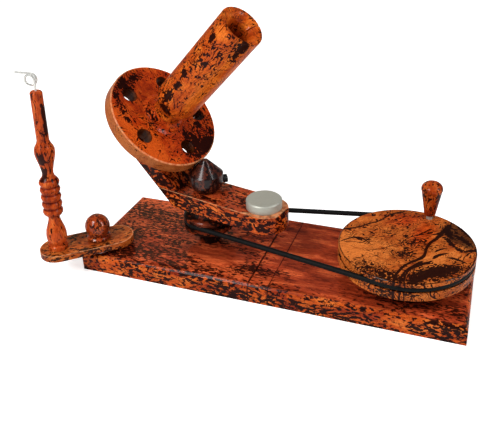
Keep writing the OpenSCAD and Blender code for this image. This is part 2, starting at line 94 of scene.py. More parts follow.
def newGroup(name, inputs, outputs):
    tree = bpy.data.node_groups.new(name, "ShaderNodeTree")
    kinds = {"value": "NodeSocketFloat", "vector": "NodeSocketVector", "colour": "NodeSocketColor"}
    for side, sockets in (("INPUT", inputs), ("OUTPUT", outputs)):
        for label, kind in sockets.items():
            tree.interface.new_socket(name=label, in_out=side, socket_type=kinds[kind])
    return tree, tree.nodes.new("NodeGroupInput").outputs, tree.nodes.new("NodeGroupOutput").inputs


# The value fleckSize goes to the group's input Fleck Size, and so on
def useGroup(tree, group, **values):
    node = tree.nodes.new("ShaderNodeGroup")
    node.node_tree = group
    for name, value in values.items():
        label = "".join(" " + letter if letter.isupper() else letter for letter in name).title()
        put(tree, node.inputs[label], value)
    return node.outputs


# The piece's own space in millimetres, so that its figure turns with it
def makePartSpace():
    tree, given, result = newGroup("Part Space", {"Place": "vector", "Turn": "vector"}, {"Vector": "vector"})
    coordinates = tree.nodes.new("ShaderNodeTexCoord")
    mapping = tree.nodes.new("ShaderNodeMapping")
    mapping.vector_type = "TEXTURE"
    put(tree, mapping.inputs["Vector"], move(tree, "SCALE", coordinates.outputs["Object"], scale=1000.0))
    put(tree, mapping.inputs["Location"], given["Place"])
    put(tree, mapping.inputs["Rotation"], given["Turn"])
    put(tree, result["Vector"], mapping.outputs[0])
    return tree


# One soft-edged spot: above zero inside an ellipsoid, falling off outside it
def makeSpot():
    tree, given, result = newGroup(
        "Spot", {"Vector": "vector", "Centre": "vector", "Turn": "value", "Radii": "vector"},
        {"Depth": "value"})
    turn = tree.nodes.new("ShaderNodeVectorRotate")
    turn.rotation_type = "Z_AXIS"
    put(tree, turn.inputs["Vector"], move(tree, "SUBTRACT", given["Vector"], given["Centre"]))
    put(tree, turn.inputs["Angle"], given["Turn"])
    reach = move(tree, "LENGTH", move(tree, "DIVIDE", turn.outputs[0], given["Radii"]))
    put(tree, result["Depth"], calc(tree, "SUBTRACT", 1.0, reach))
    return tree


# Dyed and lacquered wood: an orange ground under near-black flecks, thin scribbled lines and veins.
# Sizes are in millimetres. A pair is where a soft edge starts and ends, in the noise's values.
woodFigure = {
    "driftSize": 12.0, "driftReach": 8.0, "blotchSize": 11.0, "crowdSize": 24.0, "patchSize": 13.0,
    "speckSize": 1.4, "poreSize": 1.3, "poreLength": 16.0,
    "midEdge": (0.34, 0.5), "lightEdge": (0.5, 0.64), "fleckEdge": (0.64, 0.68), "veinEdge": (0.0, 0.25),
    "speckEdge": (0.3, 0.6), "speckDark": (0.4, 0.27, 0.2), "speckLight": (1.1, 1.1, 1.1), "specks": 0.6,
    "poreEdge": (0.32, 0.62), "poreDark": (0.45, 0.35, 0.3), "poreLight": (1.15, 1.15, 1.15),
    "umberAndShadowTint": (0.24, 0.29, 0.42), "blushTint": (1.0, 0.55, 0.4),
    "fleckShare": 0.3, "lineShare": 0.3, "biasShare": 0.6, "veinRagged": 1.6,
    "lineDistortion": 0.8, "lineEdge": (0.5, 0.82), "lineHalf": 0.2, "lineSoft": 0.03,
    "rubEdge": (0.15, 0.8), "rubbed": 0.97, "figureDepth": -0.5,
}


# Bias makes flecks denser or sparser. Tone lightens the ground as painted light. The umber input makes it
# browner, as a real stain on the wheel and as painted shadow on the board's top, and Blush makes it redder.
# Vein is above zero inside a vein.
def makeDyedWood():
    tree, given, result = newGroup(
        "Dyed Wood", {
            "Vector": "vector", "Seed": "value", "Grain": "value",
            "Light": "colour", "Mid": "colour", "Deep": "colour", "Dark": "colour",
            "Fleck Size": "value", "Flecks": "value", "Clusters": "value", "Streaks": "value",
            "Lines": "value", "Line Size": "value", "Line Count": "value",
            "Bias": "value", "Tone": "value", "Umber": "value", "Blush": "value", "Vein": "value",
        }, {"Color": "colour", "Height": "value"})
    vector, bias = given["Vector"], given["Bias"]

    # each noise has its own shift of the seed
    def field(place, size, detail, rough, shift, distortion=0.0):
        seed = calc(tree, "ADD", given["Seed"], shift)
        return noise(tree, place, size, detail, rough, seed, distortion)[0]

    along = tree.nodes.new("ShaderNodeCombineXYZ")
    for socket, value in zip(along.inputs, (given["Grain"], 1.0, 1.0)):
        put(tree, socket, value)
    grained = move(tree, "DIVIDE", vector, along.outputs[0])
    drift = noise(tree, grained, woodFigure["driftSize"], 2, 0.5, given["Seed"])["Color"]
    drift = move(tree, "SUBTRACT", drift, (0.5, 0.5, 0.5))
    warped = move(tree, "ADD", grained, move(tree, "SCALE", drift, scale=woodFigure["driftReach"]))

    # the ground goes from deep through mid to light, and Tone adds painted light to it
    tone = calc(tree, "ADD", field(warped, woodFigure["blotchSize"], 5, 0.6, 3.0), given["Tone"])
    ground = mix(tree, step(tree, tone, *woodFigure["midEdge"]), given["Deep"], given["Mid"])
    ground = mix(tree, step(tree, tone, *woodFigure["lightEdge"]), ground, given["Light"])
    fine = field(warped, woodFigure["speckSize"], 3, 0.65, 7.0)
    shade = step(tree, fine, *woodFigure["speckEdge"])
    shade = mix(tree, shade, woodFigure["speckDark"], woodFigure["speckLight"])
    ground = mix(tree, woodFigure["specks"], ground, shade, "MULTIPLY")

    # fine pores run along the grain
    stretched = move(tree, "DIVIDE", vector, (woodFigure["poreLength"], 1.0, 1.0))
    shade = step(tree, field(stretched, woodFigure["poreSize"], 3, 0.6, 9.0), *woodFigure["poreEdge"])
    shade = mix(tree, shade, woodFigure["poreDark"], woodFigure["poreLight"])
    ground = mix(tree, given["Streaks"], ground, shade, "MULTIPLY")
    # browner where a stain is, and darker and browner where painted shadow is
    ground = mix(tree, given["Umber"], ground, woodFigure["umberAndShadowTint"], "MULTIPLY")
    ground = mix(tree, given["Blush"], ground, woodFigure["blushTint"], "MULTIPLY")

    # flecks gather where a slow noise is high
    crowd = calc(tree, "SUBTRACT", field(grained, woodFigure["crowdSize"], 2, 0.5, 11.0), 0.5)
    crowd = calc(tree, "MULTIPLY", crowd, given["Clusters"])
    level = calc(tree, "ADD", field(warped, given["Fleck Size"], 4, 0.55, 17.0), crowd)
    level = calc(tree, "ADD", level, calc(tree, "MULTIPLY", given["Flecks"], woodFigure["fleckShare"]))
    flecks = step(tree, calc(tree, "ADD", level, bias), *woodFigure["fleckEdge"])

    # scribbled lines are contours of another noise, now thick, now gone
    contour = field(warped, given["Line Size"], 3, 0.5, 23.0, woodFigure["lineDistortion"])
    bands = calc(tree, "FRACT", calc(tree, "MULTIPLY", contour, given["Line Count"]))
    line = calc(tree, "ABSOLUTE", calc(tree, "SUBTRACT", bands, 0.5))
    thick = field(vector, woodFigure["patchSize"], 3, 0.6, 29.0)
    thick = calc(tree, "ADD", thick, calc(tree, "MULTIPLY", given["Lines"], woodFigure["lineShare"]))
    thick = calc(tree, "ADD", thick, calc(tree, "MULTIPLY", bias, woodFigure["biasShare"]))
    thick = step(tree, thick, *woodFigure["lineEdge"], 0.0, woodFigure["lineHalf"])
    lines = step(tree, calc(tree, "SUBTRACT", thick, line), 0.0, woodFigure["lineSoft"])

    # veins have slightly ragged edges
    ragged = calc(tree, "MULTIPLY", calc(tree, "SUBTRACT", fine, 0.5), woodFigure["veinRagged"])
    veins = step(tree, calc(tree, "ADD", given["Vein"], ragged), *woodFigure["veinEdge"])

    # all dark figure is slightly rubbed, and sunk a little into the lacquer
    figure = calc(tree, "MAXIMUM", calc(tree, "MAXIMUM", flecks, lines), veins)
    rubbed = step(tree, fine, *woodFigure["rubEdge"], 1.0, woodFigure["rubbed"])
    sunk = calc(tree, "MULTIPLY", figure, woodFigure["figureDepth"])
    put(tree, result["Color"], mix(tree, calc(tree, "MULTIPLY", figure, rubbed), ground, given["Dark"]))
    put(tree, result["Height"], calc(tree, "ADD", sunk, fine))
    return tree


# Edges are soft over these millimetres. Patches is how strong the painted edge highlight or a line is
# where it is weak and full.
highlightFigure = {
    "innerEdge": (-0.3, 0.2), "lowerEdge": (0.0, 0.4), "upperEdge": (0.2, 0.5),
    "patchSize": 5.0, "patchEdge": (0.35, 0.6), "patches": (0.25, 0.8), "seedShift": 50.0,
}
lineFigure = {
    "edge": (-0.3, 0.3), "patchSize": 9.0, "patchEdge": (0.3, 0.5), "patches": (0.3, 0.9), "seedShift": 40.0,
}


# How strong the painted edge highlight or a line is from place to place
def patchy(tree, given, figure):
    seed = calc(tree, "ADD", given["Seed"], figure["seedShift"])
    patch = noise(tree, given["Vector"], figure["patchSize"], 3, 0.6, seed)[0]
    return step(tree, patch, *figure["patchEdge"], *figure["patches"])


# Painted highlight along the edge where the top of a round-ended bar or a disc meets its side, where a
# rounded edge would catch the light. The outline lies at Reach from a line along X, which goes from Middle by
# Straight to each side.
# Level is the top's height.
def makeEdgeHighlight():
    tree, given, result = newGroup(
        "Edge Highlight", {
            "Vector": "vector", "Middle": "value", "Straight": "value", "Reach": "value",
            "Level": "value", "Width": "value", "Seed": "value",
        }, {"Wear": "value"})
    x, y, z = split(tree, given["Vector"])
    x = calc(tree, "ABSOLUTE", calc(tree, "SUBTRACT", x, given["Middle"]))
    past = calc(tree, "MAXIMUM", calc(tree, "SUBTRACT", x, given["Straight"]), 0.0)
    inner = calc(tree, "SUBTRACT", given["Reach"], given["Width"])
    rim = calc(tree, "SUBTRACT", distance(tree, past, y), inner)
    below = calc(tree, "SUBTRACT", z, calc(tree, "SUBTRACT", given["Level"], given["Width"]))
    above = calc(tree, "SUBTRACT", z, given["Level"])
    rim = step(tree, rim, *highlightFigure["innerEdge"])
    rim = calc(tree, "MULTIPLY", rim, step(tree, below, *highlightFigure["lowerEdge"]))
    rim = calc(tree, "MULTIPLY", rim, step(tree, above, *highlightFigure["upperEdge"], 1.0, 0.0))
    put(tree, result["Wear"], calc(tree, "MULTIPLY", rim, patchy(tree, given, highlightFigure)))
    return tree


# Thin dark line between two distances. Round is 1 for a ring about Z and 0 for lines across X.
def makeThinLine():
    tree, given, result = newGroup(
        "Thin Line", {
            "Vector": "vector", "Round": "value", "Near": "value", "Far": "value", "Seed": "value",
        }, {"Line": "value"})
    x, y, z = split(tree, given["Vector"])
    away = distance(tree, x, calc(tree, "MULTIPLY", y, given["Round"]))
    past = step(tree, calc(tree, "SUBTRACT", away, given["Near"]), *lineFigure["edge"])
    short = step(tree, calc(tree, "SUBTRACT", away, given["Far"]), *lineFigure["edge"], 1.0, 0.0)
    line = calc(tree, "MULTIPLY", past, short)
    put(tree, result["Line"], calc(tree, "MULTIPLY", line, patchy(tree, given, lineFigure)))
    return tree


# Fine grain of worked metal. Brush says how often it changes in each direction.
def makeMetalGrain():
    tree, given, result = newGroup("Metal Grain", {"Vector": "vector", "Brush": "vector"}, {"Grain": "value"})
    brushed = move(tree, "MULTIPLY", given["Vector"], given["Brush"])
    put(tree, result["Grain"], noise(tree, brushed, 1.0, 3, 0.6, 1.0)[0])
    return tree


# A screw thread's profile along the local Z axis
def makeThread():
    tree, given, result = newGroup("Thread", {"Vector": "vector", "Pitch": "value"}, {"Height": "value"})
    x, y, z = split(tree, given["Vector"])
    around = calc(tree, "DIVIDE", calc(tree, "ARCTAN2", y, x), 2 * math.pi)
    phase = calc(tree, "SUBTRACT", calc(tree, "DIVIDE", z, given["Pitch"]), around)
    put(tree, result["Height"], calc(tree, "PINGPONG", phase, 0.5))
    return tree


partSpace = makePartSpace()
spotGroup = makeSpot()
dyedWood = makeDyedWood()
edgeHighlightGroup = makeEdgeHighlight()
thinLineGroup = makeThinLine()
metalGrain = makeMetalGrain()
threadGroup = makeThread()
print("scene: shader groups made")


def newMaterial(name):
    material = bpy.data.materials.new(name)
    material.use_nodes = True
    tree = material.node_tree
    tree.nodes.clear()
    surface = tree.nodes.new("ShaderNodeOutputMaterial")
    shader = tree.nodes.new("ShaderNodeBsdfPrincipled")
    tree.links.new(shader.outputs[0], surface.inputs["Surface"])
    return material, tree, shader


def bump(tree, shader, height, strength, depth):
    node = tree.nodes.new("ShaderNodeBump")
    put(tree, node.inputs["Height"], height)
    put(tree, node.inputs["Strength"], strength)
    put(tree, node.inputs["Distance"], depth)
    tree.links.new(node.outputs[0], shader.inputs["Normal"])


# The look's place is the middle of the piece's space, and its turn is in degrees
def localSpace(tree, look):
    turn = tuple(math.radians(angle) for angle in look.get("turn", (0, 0, 0)))
    return useGroup(tree, partSpace, place=look.get("place", (0, 0, 0)), turn=turn)[0]


outside = -2.0  # depth that is far from every spot and vein


# Depth inside a list of spots, each given by its centre, its turn in degrees and its radii
def spotDepth(tree, vector, spots):
    depth = outside
    for centre, angle, radii in spots:
        spot = useGroup(tree, spotGroup, vector=vector, centre=centre, turn=math.radians(angle), radii=radii)
        depth = calc(tree, "MAXIMUM", depth, spot[0])
    return depth


# A smooth curve over the piece's X, through points that lie within reach of its middle
def curveOver(tree, x, points, reach=80.0):
    node = tree.nodes.new("ShaderNodeFloatCurve")
    curve = node.mapping.curves[0]
    places = [(a / reach / 2 + 0.5, b / reach / 2 + 0.5) for a, b in points]
    curve.points[0].location = places[0]
    curve.points[1].location = places[-1]
    for place in places[1:-1]:
        curve.points.new(*place)
    node.mapping.update()
    put(tree, node.inputs["Value"], calc(tree, "ADD", calc(tree, "DIVIDE", x, 2 * reach), 0.5))
    return calc(tree, "MULTIPLY", calc(tree, "SUBTRACT", node.outputs[0], 0.5), 2 * reach)


# Veins run along the piece's X through (x, y, half width) points and fade out past their ends
def veinDepth(tree, vector, veins, fade=3.0, thinnest=0.01):
    x, y, z = split(tree, vector)
    depth = outside
    for vein in veins:
        middle = [(px, py) for px, py, half in vein]
        height = []
        for i, (px, py, half) in enumerate(vein):
            before, after = middle[max(i - 1, 0)], middle[min(i + 1, len(vein) - 1)]
            slope = (after[1] - before[1]) / (after[0] - before[0])
            height.append((px, half * math.hypot(1.0, slope)))
        height.insert(0, (middle[0][0] - fade, thinnest))
        height.append((middle[-1][0] + fade, thinnest))
        off = calc(tree, "ABSOLUTE", calc(tree, "SUBTRACT", y, curveOver(tree, x, middle)))
        wide = calc(tree, "MAXIMUM", curveOver(tree, x, height), thinnest)
        depth = calc(tree, "MAXIMUM", depth, calc(tree, "SUBTRACT", 1.0, calc(tree, "DIVIDE", off, wide)))
    return calc(tree, "MAXIMUM", depth, outside)


# How spots change the wood: the depths where a change starts and ends, and how far it goes there.
# Stains and busy spots crowd the flecks, calm ones thin them, and painted-light spots lighten the ground as
# painted light.
# Umber spots brown it, as a real stain on the wheel and as painted shadow on the board, and blush spots
# redden it.
spotKinds = {
    "stains": (-0.6, 1.1, 0.4), "busy": (-0.5, 0.6, 0.13), "calm": (-0.3, 0.7, 0.22),
    "pale": (-0.4, 0.8, 0.2), "umber": (-0.1, 0.35, 1.0), "blush": (-0.3, 0.7, 1.0),
}
woodValues = ("seed", "grain", "light", "mid", "deep", "dark", "fleckSize", "flecks", "clusters", "streaks",
              "lines", "lineSize", "lineCount")


# One layer of dyed wood, with the look's own lists of spots and veins
def woodLayer(tree, vector, look):
    change = {}
    for kind, (low, high, most) in spotKinds.items():
        depth = spotDepth(tree, vector, look.get(kind, []))
        change[kind] = step(tree, depth, low, high, 0.0, look.get(kind + "Depth", most))
    crowded = calc(tree, "ADD", change["stains"], change["busy"])
    return useGroup(
        tree, dyedWood, vector=vector, **{name: look[name] for name in woodValues},
        bias=calc(tree, "SUBTRACT", crowded, change["calm"]), tone=change["pale"], umber=change["umber"],
        blush=change["blush"], vein=veinDepth(tree, vector, look.get("veins", [])))


# Shade inside a circle of bores through the piece's face. It fades out from near to far from a bore's middle.
def boreShade(tree, vector, bores):
    x, y, z = split(tree, vector)
    share = 2 * math.pi / bores["count"]
    angle = calc(tree, "SUBTRACT", calc(tree, "ARCTAN2", y, x), math.radians(bores["first"]))
    angle = calc(tree, "PINGPONG", calc(tree, "ADD", angle, 2 * math.pi), share / 2)
    reach = distance(tree, x, y)
    across = calc(tree, "MULTIPLY", reach, calc(tree, "SINE", angle))
    out = calc(tree, "SUBTRACT", calc(tree, "MULTIPLY", reach, calc(tree, "COSINE", angle)), bores["ring"])
    return step(tree, distance(tree, across, out), bores["near"], bores["far"], bores["dark"], 0.0)


# Painted shade in the grooves between turned beads along the piece's X. Each fades out from near to far from
# its middle.
# Past the first and the last groove, the row stops between full and gone.
def beadGrooveShade(tree, vector, beads):
    first, full, gone = beads["first"], beads["full"], beads["gone"]
    last = first + beads["pitch"] * beads["count"]
    x = split(tree, vector)[0]
    away = calc(tree, "PINGPONG", calc(tree, "SUBTRACT", x, first), beads["pitch"] / 2)
    after = step(tree, x, first - gone, first - full)
    before = step(tree, x, last + full, last + gone, 1.0, 0.0)
    grooveShade = step(tree, away, beads["near"], beads["far"], beads["dark"], 0.0)
    return calc(tree, "MULTIPLY", calc(tree, "MULTIPLY", after, before), grooveShade)


# Lacquer that every wood has where its look doesn't say otherwise. Relief depths are in metres.
woodFinish = {
    "roughness": 0.4, "shine": 0.04, "coat": 0.12, "coatRoughness": 0.12,
    "relief": 0.12, "reliefDepth": 0.0004, "wornColour": (0.72, 0.3, 0.13), "upEdge": (0.72, 0.97),
}


def woodMaterial(name, look):
    material, tree, shader = newMaterial(name)
    finish = {**woodFinish, **look}
    vector = localSpace(tree, look)
    layer = woodLayer(tree, vector, look)
    color, height = layer["Color"], layer["Height"]
    if "top" in look:  # another figure on faces that look up
        normal = split(tree, tree.nodes.new("ShaderNodeTexCoord").outputs["Normal"])
        layer = woodLayer(tree, vector, {**look, **look["top"]})
        color = mix(tree, step(tree, normal[2], *finish["upEdge"]), color, layer["Color"])
    if "side" in look:  # another figure below a level
        layer = woodLayer(tree, vector, {**look, **look["side"]})
        above = step(tree, split(tree, vector)[2], *look["side"]["edge"])
        color = mix(tree, above, layer["Color"], color)
    if "thinLine" in look:
        line = useGroup(tree, thinLineGroup, vector=vector, seed=look["seed"], **look["thinLine"])["Line"]
        color = mix(tree, line, color, look["dark"])
    # painted highlight along an edge, where a rounded edge would catch the light
    if "worn" in look:
        highlight = useGroup(tree, edgeHighlightGroup, vector=vector, seed=look["seed"], **look["worn"])["Wear"]
        color = mix(tree, highlight, color, finish["wornColour"])
    # painted shade in the grooves between beads
    if "beads" in look:
        color = mix(tree, beadGrooveShade(tree, vector, look["beads"]), color, look["deep"], "MULTIPLY")
    if "bores" in look:
        color = mix(tree, boreShade(tree, vector, look["bores"]), color, look["dark"])
    put(tree, shader.inputs["Base Color"], color)
    shader.inputs["Roughness"].default_value = finish["roughness"]
    shader.inputs["Specular IOR Level"].default_value = finish["shine"]
    shader.inputs["Coat Weight"].default_value = finish["coat"]
    shader.inputs["Coat Roughness"].default_value = finish["coatRoughness"]
    bump(tree, shader, height, finish["relief"], finish["reliefDepth"])
    return material


# What every metal has where its look doesn't say otherwise
metalFinish = {
    "metallic": 0.7, "grainEdge": (0.3, 0.7), "unevenness": 0.05,
    "relief": 0.05, "reliefDepth": 0.0002, "threadRelief": 1.0, "threadDepth": 0.0006,
}


def metalMaterial(name, look):
    material, tree, shader = newMaterial(name)
    finish = {**metalFinish, **look}
    vector = localSpace(tree, look)
    grain = useGroup(tree, metalGrain, vector=vector, brush=look["brush"])["Grain"]
    shade = mix(tree, step(tree, grain, *finish["grainEdge"]), look["shade"], look["colour"])
    smooth, rough = look["roughness"] - finish["unevenness"], look["roughness"] + finish["unevenness"]
    put(tree, shader.inputs["Base Color"], shade)
    put(tree, shader.inputs["Roughness"], step(tree, grain, *finish["grainEdge"], smooth, rough))
    shader.inputs["Metallic"].default_value = finish["metallic"]
    if "pitch" in look:
        profile = useGroup(tree, threadGroup, vector=vector, pitch=look["pitch"])["Height"]
        bump(tree, shader, profile, finish["threadRelief"], finish["threadDepth"])
    else:
        bump(tree, shader, grain, finish["relief"], finish["reliefDepth"])
    return material


def rubberMaterial(name, look):
    material, tree, shader = newMaterial(name)
    dust = noise(tree, localSpace(tree, look), look["dustSize"], 4, 0.6, look["seed"])[0]
    shade = mix(tree, step(tree, dust, *look["dustEdge"]), look["colour"], look["dust"])
    put(tree, shader.inputs["Base Color"], shade)
    shader.inputs["Roughness"].default_value = look["roughness"]
    shader.inputs["Specular IOR Level"].default_value = look["shine"]
    bump(tree, shader, dust, look["relief"], look["reliefDepth"])
    return material


# Give one material to every node named
def dress(material, *nodes):
    for name in nodes:
        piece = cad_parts[name]
        if not piece.material_slots:
            piece.data.materials.append(material)
        for slot in piece.material_slots:
            slot.material = material


# Baseboard: orange sides with long near-black flecks, a darker and redder top, thin dark lines across it
boardLook = {
    "seed": 4.0, "grain": 2.2,
    "light": (0.74, 0.17, 0.026), "mid": (0.56, 0.085, 0.009), "deep": (0.28, 0.026, 0.005),
    "dark": (0.009, 0.0006, 0.0003), "fleckSize": 3.0, "flecks": 0.52, "clusters": 0.45, "streaks": 0.3,
    "lines": 0.35, "lineSize": 9.0, "lineCount": 6.0,
    "thinLine": {"round": 0.0, "near": 11.0, "far": 12.6},
    "top": {
        "seed": 5.0, "grain": 3.0,
        "light": (0.68, 0.115, 0.032), "mid": (0.40, 0.05, 0.014), "deep": (0.15, 0.017, 0.006),
        "dark": (0.022, 0.003, 0.0012), "fleckSize": 2.0, "flecks": 0.50, "clusters": 0.5, "streaks": 0.7,
        "lines": 0.0, "umberDepth": 0.4,
        # painted shadow of the pulley and the arm on the board's top, darker and browner
        "umber": [((-75.0, -12.0, 24.0), 0, (60.0, 34.0, 20.0))],
        # painted light: a lit strip in front of the pulley, and a painted sheen at the back left
        "pale": [
            ((-190.0, 40.0, 24.0), 0, (70.0, 60.0, 20.0)),
            ((-60.0, -52.0, 24.0), 0, (50.0, 18.0, 20.0)),
        ],
        "calm": [
            ((80.0, 14.0, 24.0), 0, (100.0, 80.0, 20.0)),
            ((-60.0, -34.0, 24.0), 0, (36.0, 20.0, 20.0)),
        ],
    },
}
dress(woodMaterial("Board Wood", boardLook), "base_board")

# Crank wheel: tan-orange with thin lines, dark flowing veins and two large stains
wheelLook = {
    "place": (150, 0, 50), "turn": (0, 0, 35), "seed": 9.0, "grain": 1.5,
    "light": (0.64, 0.172, 0.03), "mid": (0.49, 0.108, 0.015), "deep": (0.31, 0.05, 0.008),
    "dark": (0.013, 0.002, 0.001), "fleckSize": 2.0, "flecks": 0.18, "clusters": 0.3, "streaks": 0.25,
    "lines": 0.66, "lineSize": 34.0, "lineCount": 24.0,
    # a thin dark ring near the rounded edge of the top
    "thinLine": {"round": 1.0, "near": 73.4, "far": 74.6},
    "veins": [
        # the double vein from the front edge across to the dark patch
        [(-52, -73, 2.0), (-46, -63, 2.0), (-41, -54, 1.8), (-33, -46, 1.8), (-22, -38, 1.8),
         (-12, -34, 1.9), (-3, -32, 2.2), (7, -27, 2.3), (14, -18, 2.2), (24, -8, 2.2),
         (35, -2, 2.6), (49, 8, 3.4), (63, 17, 4.0)],
        [(-46, -76, 1.3), (-40, -65, 1.3), (-32, -53, 1.3), (-22, -45, 1.4), (-11, -40, 1.6), (-2, -37, 2.0)],
        [(-36, -74, 1.0), (-34, -62, 1.0), (-28, -53, 1.1), (-20, -46, 1.6), (-9, -42, 2.6), (6, -40, 1.6)],
        # one across the middle, one along the edge at the back left, and the lens at the left
        [(-41, 0, 0.4), (-29, -1, 0.6), (-18, 1, 0.6), (-6, 3, 0.6), (6, 9, 0.7), (16, 11, 0.8),
         (26, 13, 0.9), (38, 18, 1.0)],
        [(-58, 50, 1.2), (-37, 48, 1.3), (-22, 51, 1.3), (-9, 53, 1.3), (2, 58, 1.2), (11, 62, 1.2),
         (28, 63, 1.3)],
        [(-66, 27, 0.8), (-57, 29, 1.2), (-49, 29, 1.5), (-42, 25, 1.6), (-40, 20, 1.2)],
        [(-62, 24, 0.5), (-55, 22, 0.6), (-46, 17, 0.9), (-42, 18, 1.0)],
        # three short ones before the dark patch
        [(15, -34, 2.0), (20, -32, 2.4), (26, -31, 2.0), (33, -31, 0.8)],
        [(29, -39, 1.0), (34, -42, 2.0), (40, -50, 1.8)],
        [(23, -24, 1.2), (30, -22, 1.5), (36, -22, 0.8)],
    ],
    "stains": [
        ((54.0, 2.0, 12.0), 20, (4.0, 9.0, 20.0)), ((73.0, 4.0, 12.0), 0, (3.0, 16.0, 30.0)),
        ((46.0, -13.0, 12.0), 0, (2.6, 11.0, 20.0)), ((48.0, -29.0, 12.0), -25, (2.6, 6.0, 20.0)),
        ((60.0, -35.0, 12.0), 0, (9.0, 2.4, 20.0)), ((62.0, -14.0, 12.0), -12, (3.5, 13.0, 20.0)),
        ((4.0, -58.0, 12.0), 2, (35.0, 10.5, 24.0)), ((-20.0, -63.0, 12.0), -20, (13.0, 7.0, 24.0)),
    ],
    # a real brown stain over the dark patch at the right
    "umber": [((62.0, -8.0, 12.0), -12, (15.0, 29.0, 40.0)), ((70.0, 14.0, 12.0), 0, (9.0, 10.0, 40.0))],
    "blush": [((26.0, 11.0, 12.0), -44, (38.0, 14.0, 20.0)), ((20.0, 46.0, 12.0), 0, (26.0, 16.0, 20.0))],
    "busy": [
        ((10.0, -3.0, 12.0), 20, (18.0, 10.0, 12.0)), ((-50.0, -42.0, 12.0), 60, (26.0, 13.0, 30.0)),
        ((-12.0, -18.0, 12.0), 0, (12.0, 8.0, 10.0)),
    ],
    "calm": [
        ((-60.0, 8.0, 12.0), 0, (22.0, 20.0, 40.0)), ((20.0, -30.0, 12.0), 0, (22.0, 12.0, 20.0)),
        ((-30.0, 66.0, 12.0), 0, (30.0, 10.0, 20.0)),
    ],
    # painted light: the top is lighter at its left, where the key lamp falls, and in a patch at its front
    "pale": [((-58.0, 0.0, 12.0), 0, (34.0, 36.0, 40.0)), ((20.0, -36.0, 12.0), 0, (26.0, 12.0, 20.0))],
}
dress(woodMaterial("Wheel Wood", wheelLook), "drive_wheel")

# Crank grip: its flecks gather at the top
gripLook = {
    "place": (167.6, 61.5, 60), "turn": (0, -90, 0), "seed": 14.0, "grain": 2.2,
    "light": (0.52, 0.10, 0.016), "mid": (0.36, 0.042, 0.004), "deep": (0.16, 0.014, 0.003),
    "dark": (0.018, 0.002, 0.001), "fleckSize": 2.6, "flecks": 0.36, "clusters": 0.5, "streaks": 0.3,
    "lines": 0.3, "lineSize": 12.0, "lineCount": 6.0,
    "busy": [((35.0, 0.0, 0.0), 0, (11.0, 13.0, 13.0))],
}
dress(woodMaterial("Grip Wood", gripLook), "crank_grip")

# Winding arm: strong near-black scribble on the sides, a redder top
armLook = {
    "place": (-88, 0, 0), "turn": (0, 0, -13.4), "seed": 21.0, "grain": 2.0,
    "light": (0.74, 0.165, 0.027), "mid": (0.52, 0.075, 0.010), "deep": (0.20, 0.022, 0.004),
    "dark": (0.010, 0.0008, 0.0004), "fleckSize": 4.2, "flecks": 0.5, "clusters": 0.4, "streaks": 0.1,
    "lines": 0.95, "lineSize": 15.0, "lineCount": 8.0,
    # painted highlight along the arm's top edge
    "worn": {"straight": 59.0, "reach": 25.0, "level": 92.5, "width": 0.8},
    "top": {
        "light": (0.56, 0.10, 0.022), "mid": (0.38, 0.052, 0.013), "deep": (0.18, 0.022, 0.007),
        "fleckSize": 2.4, "flecks": 0.44, "lines": 0.5, "streaks": 0.4,
    },
}
dress(woodMaterial("Arm Wood", armLook), "rotor_arm")

# Pulley and cone are nearly black
pulleyLook = {
    "place": (-88, 0, 50), "seed": 26.0, "grain": 1.6,
    "light": (0.3, 0.05, 0.012), "mid": (0.14, 0.02, 0.006), "deep": (0.05, 0.008, 0.004),
    "dark": (0.008, 0.003, 0.002), "fleckSize": 5.0, "flecks": 0.6, "clusters": 0.5, "streaks": 0.2,
    "lines": 0.2, "lineSize": 15.0, "lineCount": 6.0,
}
# The spacers under the pulley and the wheel get this near-black wood too, which stands in for the shade under
# them
dress(woodMaterial("Pulley Wood", pulleyLook), "driven_pulley", "post_spacer", "wheel_spacer")
coneLook = {
    "place": (-88, 0, 110), "turn": (0, -90, 0), "seed": 30.0, "grain": 1.6,
    "light": (0.16, 0.035, 0.014), "mid": (0.07, 0.014, 0.007), "deep": (0.03, 0.007, 0.004),
    "dark": (0.007, 0.002, 0.002), "fleckSize": 4.0, "flecks": 0.55, "clusters": 0.4, "streaks": 0.2,
    "lines": 0.2, "lineSize": 15.0, "lineCount": 6.0, "coat": 0.6, "coatRoughness": 0.2,
}
dress(woodMaterial("Cone Wood", coneLook), "friction_cone")

